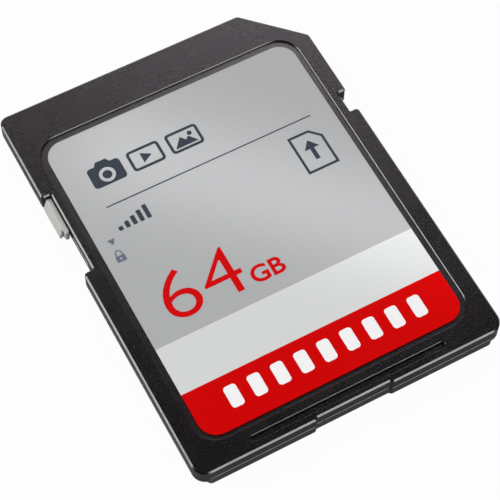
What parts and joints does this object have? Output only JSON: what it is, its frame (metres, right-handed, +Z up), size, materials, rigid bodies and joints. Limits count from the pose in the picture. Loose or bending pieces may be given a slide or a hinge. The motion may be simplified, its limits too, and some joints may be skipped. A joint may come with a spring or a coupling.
{
  "type": "memory card",
  "caption": "Flat rectangular memory card with a cut corner, guide edges, a recessed front label, ribbed contact windows on the back and a sliding write-protect tab.",
  "frame": {"origin": "middle of the back face, which the card lies on", "axes": "+X across the card to the right with the label up, +Y along the card to the contact end, +Z up through the label"},
  "size_m": [0.024, 0.032, 0.0021],
  "materials": {
    "cover_plastic": "black, fine moulded grain",
    "slider_plastic": "satin, light warm grey",
    "label_film": "satin film, grey with a white and a red band",
    "board_laminate": "green solder mask",
    "pad_gold": "gold plate",
    "chip_resin": "matte moulding resin",
    "capacitor_ceramic": "fired ceramic with tinned ends",
    "resistor_ceramic": "glazed with tinned ends"
  },
  "bodies": {
    "card": {"front_cover": "cover_plastic", "rear_cover": "cover_plastic", "front_label": "label_film", "circuit_board": "board_laminate", "controller_chip": "chip_resin", "memory_chip": "chip_resin", "contact_pad_1": "pad_gold", "contact_pad_2": "pad_gold", "contact_pad_3": "pad_gold", "contact_pad_4": "pad_gold", "contact_pad_5": "pad_gold", "contact_pad_6": "pad_gold", "contact_pad_7": "pad_gold", "contact_pad_8": "pad_gold", "contact_pad_9": "pad_gold", "capacitor_1": "capacitor_ceramic", "capacitor_2": "capacitor_ceramic", "capacitor_3": "capacitor_ceramic", "capacitor_4": "capacitor_ceramic", "resistor_1": "resistor_ceramic", "resistor_2": "resistor_ceramic", "resistor_3": "resistor_ceramic", "resistor_4": "resistor_ceramic", "resistor_5": "resistor_ceramic"},
    "slider": {"write_protect_slider": "slider_plastic"}
  },
  "joints": [
    {"name": "write_protect_slide", "type": "slide", "parent": "card", "child": "slider", "axis": [0, -1, 0], "range_m": [0, 0.00365]}
  ]
}
